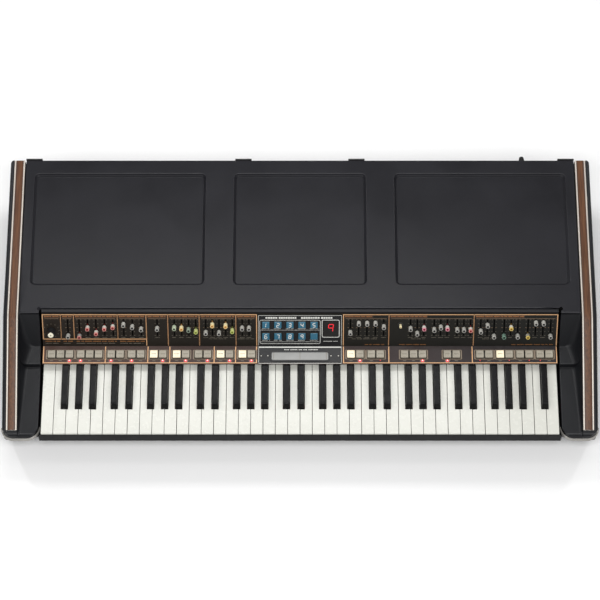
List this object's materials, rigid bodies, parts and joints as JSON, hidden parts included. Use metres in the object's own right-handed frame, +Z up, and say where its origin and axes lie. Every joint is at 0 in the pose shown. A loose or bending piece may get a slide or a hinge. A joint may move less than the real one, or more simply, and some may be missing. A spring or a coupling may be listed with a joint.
{
  "type": "keyboard synthesizer",
  "caption": "Polyphonic keyboard synthesizer with a hinged lid, slider panel, push buttons, preset keys and walnut-trimmed cheeks.",
  "frame": {"origin": "middle of the footprint, on the surface that the feet stand on", "axes": "+X to the player's right, +Y away from the player, +Z up"},
  "size_m": [1.142, 0.565, 0.2008],
  "materials": {
    "case_cover": "black grained covering, semi-matt",
    "deck_cover": "dark grey grained covering, semi-matt",
    "walnut": "oiled walnut, fine grain along the strip",
    "strip_trim": "pale satin metal",
    "bright_bead": "bright bead",
    "case_metal": "black satin paint",
    "hinge_metal": "black paint",
    "rail": "dark grey satin paint",
    "control_panel": "black-brown paint with copper printed outlines",
    "centre_panel": "black paint with white printed outlines",
    "ribbon": "pale grey ribbon",
    "display_glass": "dark red filter",
    "bed_steel": "zinc-plated steel",
    "circuit_board": "green circuit board",
    "transformer_core": "varnished laminations",
    "black_plastic": "black moulded plastic",
    "foot_rubber": "black rubber",
    "button_beige": "beige moulded cap",
    "preset_teal": "teal-blue translucent cap",
    "slider_grey": "grey moulded cap",
    "white_key": "off-white glossy keys",
    "black_key": "black glossy keys"
  },
  "bodies": {
    "case": {"base_pan": "case_metal", "side_cheek_left": "case_cover", "side_cheek_right": "case_cover", "wood_strip_left": "walnut", "wood_strip_right": "walnut", "strip_trim_left": "strip_trim", "strip_trim_right": "strip_trim", "corner_bead_left": "bright_bead", "corner_bead_right": "bright_bead", "end_block_left": "case_cover", "end_block_right": "case_cover", "rear_panel": "case_metal", "lid_hinge": "hinge_metal", "panel_rail": "rail", "control_panel": "control_panel", "centre_panel": "centre_panel", "ribbon": "ribbon", "display_window": "display_glass", "key_slip": "case_metal", "key_bed": "bed_steel", "main_board": "circuit_board", "transformer": "transformer_core", "cord_gland": "black_plastic", "foot_1": "foot_rubber", "foot_2": "foot_rubber", "foot_3": "foot_rubber", "foot_4": "foot_rubber"},
    "lid": {"top_lid": "deck_cover"},
    "keys_low": {"keys_low": "white_key"},
    "key_C": {"key_C": "white_key"},
    "key_C_sharp": {"key_C_sharp": "black_key"},
    "key_D": {"key_D": "white_key"},
    "key_D_sharp": {"key_D_sharp": "black_key"},
    "key_E": {"key_E": "white_key"},
    "key_F": {"key_F": "white_key"},
    "key_F_sharp": {"key_F_sharp": "black_key"},
    "key_G": {"key_G": "white_key"},
    "key_G_sharp": {"key_G_sharp": "black_key"},
    "key_A": {"key_A": "white_key"},
    "key_A_sharp": {"key_A_sharp": "black_key"},
    "key_B": {"key_B": "white_key"},
    "keys_high": {"keys_high": "white_key"},
    "tune_knob": {"tune_knob": "black_plastic"},
    "slider_1": {"slider_1": "slider_grey"},
    "slider_2": {"slider_2": "slider_grey"},
    "slider_3": {"slider_3": "slider_grey"},
    "slider_4": {"slider_4": "slider_grey"},
    "slider_5": {"slider_5": "slider_grey"},
    "slider_6": {"slider_6": "slider_grey"},
    "slider_7": {"slider_7": "slider_grey"},
    "slider_8": {"slider_8": "slider_grey"},
    "slider_9": {"slider_9": "slider_grey"},
    "button_1": {"button_1": "button_beige"},
    "button_2": {"button_2": "button_beige"},
    "button_3": {"button_3": "button_beige"},
    "button_4": {"button_4": "button_beige"},
    "preset_1": {"preset_1": "preset_teal"},
    "preset_2": {"preset_2": "preset_teal"},
    "preset_3": {"preset_3": "preset_teal"},
    "power_switch": {"power_switch": "black_plastic"}
  },
  "joints": [
    {"name": "lid_hinge_joint", "type": "hinge", "parent": "case", "child": "lid", "pos_m": [0, 0.2737, 0.199], "axis": [-1, 0, 0], "range_deg": [0, 65]},
    {"name": "keys_low_press", "type": "hinge", "parent": "case", "child": "keys_low", "pos_m": [-0.27025, -0.0805, 0.1005], "axis": [1, 0, 0], "range_deg": [0, 2.6], "stiffness_Nm_per_rad": 36, "springref_deg": -8.59},
    {"name": "key_C_press", "type": "hinge", "parent": "case", "child": "key_C", "pos_m": [-0.03525, -0.0805, 0.1005], "axis": [1, 0, 0], "range_deg": [0, 2.6], "stiffness_Nm_per_rad": 1.2, "springref_deg": -8.59},
    {"name": "key_C_sharp_press", "type": "hinge", "parent": "case", "child": "key_C_sharp", "pos_m": [-0.0258, -0.0805, 0.1005], "axis": [1, 0, 0], "range_deg": [0, 2.6], "stiffness_Nm_per_rad": 1.2, "springref_deg": -8.59},
    {"name": "key_D_press", "type": "hinge", "parent": "case", "child": "key_D", "pos_m": [-0.01175, -0.0805, 0.1005], "axis": [1, 0, 0], "range_deg": [0, 2.6], "stiffness_Nm_per_rad": 1.2, "springref_deg": -8.59},
    {"name": "key_D_sharp_press", "type": "hinge", "parent": "case", "child": "key_D_sharp", "pos_m": [0.0021, -0.0805, 0.1005], "axis": [1, 0, 0], "range_deg": [0, 2.6], "stiffness_Nm_per_rad": 1.2, "springref_deg": -8.59},
    {"name": "key_E_press", "type": "hinge", "parent": "case", "child": "key_E", "pos_m": [0.01175, -0.0805, 0.1005], "axis": [1, 0, 0], "range_deg": [0, 2.6], "stiffness_Nm_per_rad": 1.2, "springref_deg": -8.59},
    {"name": "key_F_press", "type": "hinge", "parent": "case", "child": "key_F", "pos_m": [0.03525, -0.0805, 0.1005], "axis": [1, 0, 0], "range_deg": [0, 2.6], "stiffness_Nm_per_rad": 1.2, "springref_deg": -8.59},
    {"name": "key_F_sharp_press", "type": "hinge", "parent": "case", "child": "key_F_sharp", "pos_m": [0.0435, -0.0805, 0.1005], "axis": [1, 0, 0], "range_deg": [0, 2.6], "stiffness_Nm_per_rad": 1.2, "springref_deg": -8.59},
    {"name": "key_G_press", "type": "hinge", "parent": "case", "child": "key_G", "pos_m": [0.05875, -0.0805, 0.1005], "axis": [1, 0, 0], "range_deg": [0, 2.6], "stiffness_Nm_per_rad": 1.2, "springref_deg": -8.59},
    {"name": "key_G_sharp_press", "type": "hinge", "parent": "case", "child": "key_G_sharp", "pos_m": [0.0705, -0.0805, 0.1005], "axis": [1, 0, 0], "range_deg": [0, 2.6], "stiffness_Nm_per_rad": 1.2, "springref_deg": -8.59},
    {"name": "key_A_press", "type": "hinge", "parent": "case", "child": "key_A", "pos_m": [0.08225, -0.0805, 0.1005], "axis": [1, 0, 0], "range_deg": [0, 2.6], "stiffness_Nm_per_rad": 1.2, "springref_deg": -8.59},
    {"name": "key_A_sharp_press", "type": "hinge", "parent": "case", "child": "key_A_sharp", "pos_m": [0.0972, -0.0805, 0.1005], "axis": [1, 0, 0], "range_deg": [0, 2.6], "stiffness_Nm_per_rad": 1.2, "springref_deg": -8.59},
    {"name": "key_B_press", "type": "hinge", "parent": "case", "child": "key_B", "pos_m": [0.10575, -0.0805, 0.1005], "axis": [1, 0, 0], "range_deg": [0, 2.6], "stiffness_Nm_per_rad": 1.2, "springref_deg": -8.59},
    {"name": "keys_high_press", "type": "hinge", "parent": "case", "child": "keys_high", "pos_m": [0.3055, -0.0805, 0.1005], "axis": [1, 0, 0], "range_deg": [0, 2.6], "stiffness_Nm_per_rad": 30, "springref_deg": -8.59},
    {"name": "tune_knob_turn", "type": "hinge", "parent": "case", "child": "tune_knob", "pos_m": [-0.477, -0.08074, 0.15323], "axis": [0, -0.8623, 0.5064], "range_deg": [-150, 150]},
    {"name": "slider_1_travel", "type": "slide", "parent": "case", "child": "slider_1", "axis": [0, 0.5064, 0.8623], "range_m": [-0.001, 0.031]},
    {"name": "slider_2_travel", "type": "slide", "parent": "case", "child": "slider_2", "axis": [0, 0.5064, 0.8623], "range_m": [-0.0085, 0.0235]},
    {"name": "slider_3_travel", "type": "slide", "parent": "case", "child": "slider_3", "axis": [0, 0.5064, 0.8623], "range_m": [-0.017, 0.015]},
    {"name": "slider_4_travel", "type": "slide", "parent": "case", "child": "slider_4", "axis": [0, 0.5064, 0.8623], "range_m": [-0.019, 0.013]},
    {"name": "slider_5_travel", "type": "slide", "parent": "case", "child": "slider_5", "axis": [0, 0.5064, 0.8623], "range_m": [-0.026, 0.006]},
    {"name": "slider_6_travel", "type": "slide", "parent": "case", "child": "slider_6", "axis": [0, 0.5064, 0.8623], "range_m": [-0.019, 0.013]},
    {"name": "slider_7_travel", "type": "slide", "parent": "case", "child": "slider_7", "axis": [0, 0.5064, 0.8623], "range_m": [-0.0297, 0.0023]},
    {"name": "slider_8_travel", "type": "slide", "parent": "case", "child": "slider_8", "axis": [0, 0.5064, 0.8623], "range_m": [-0.0155, 0.0165]},
    {"name": "slider_9_travel", "type": "slide", "parent": "case", "child": "slider_9", "axis": [0, 0.5064, 0.8623], "range_m": [-0.0304, 0.0016]},
    {"name": "button_1_press", "type": "slide", "parent": "case", "child": "button_1", "axis": [0, 0.0368, -0.9993], "range_m": [0, 0.0025], "stiffness_N_per_m": 200, "springref_m": -0.002},
    {"name": "button_2_press", "type": "slide", "parent": "case", "child": "button_2", "axis": [0, 0.0368, -0.9993], "range_m": [0, 0.0025], "stiffness_N_per_m": 200, "springref_m": -0.002},
    {"name": "button_3_press", "type": "slide", "parent": "case", "child": "button_3", "axis": [0, 0.0368, -0.9993], "range_m": [0, 0.0025], "stiffness_N_per_m": 200, "springref_m": -0.002},
    {"name": "button_4_press", "type": "slide", "parent": "case", "child": "button_4", "axis": [0, 0.0368, -0.9993], "range_m": [0, 0.0025], "stiffness_N_per_m": 200, "springref_m": -0.002},
    {"name": "preset_1_press", "type": "slide", "parent": "case", "child": "preset_1", "axis": [0, 0.8623, -0.5064], "range_m": [0, 0.002], "stiffness_N_per_m": 200, "springref_m": -0.002},
    {"name": "preset_2_press", "type": "slide", "parent": "case", "child": "preset_2", "axis": [0, 0.8623, -0.5064], "range_m": [0, 0.002], "stiffness_N_per_m": 200, "springref_m": -0.002},
    {"name": "preset_3_press", "type": "slide", "parent": "case", "child": "preset_3", "axis": [0, 0.8623, -0.5064], "range_m": [0, 0.002], "stiffness_N_per_m": 200, "springref_m": -0.002},
    {"name": "power_switch_slide", "type": "slide", "parent": "case", "child": "power_switch", "axis": [1, 0, 0], "range_m": [0, 0.011]}
  ]
}
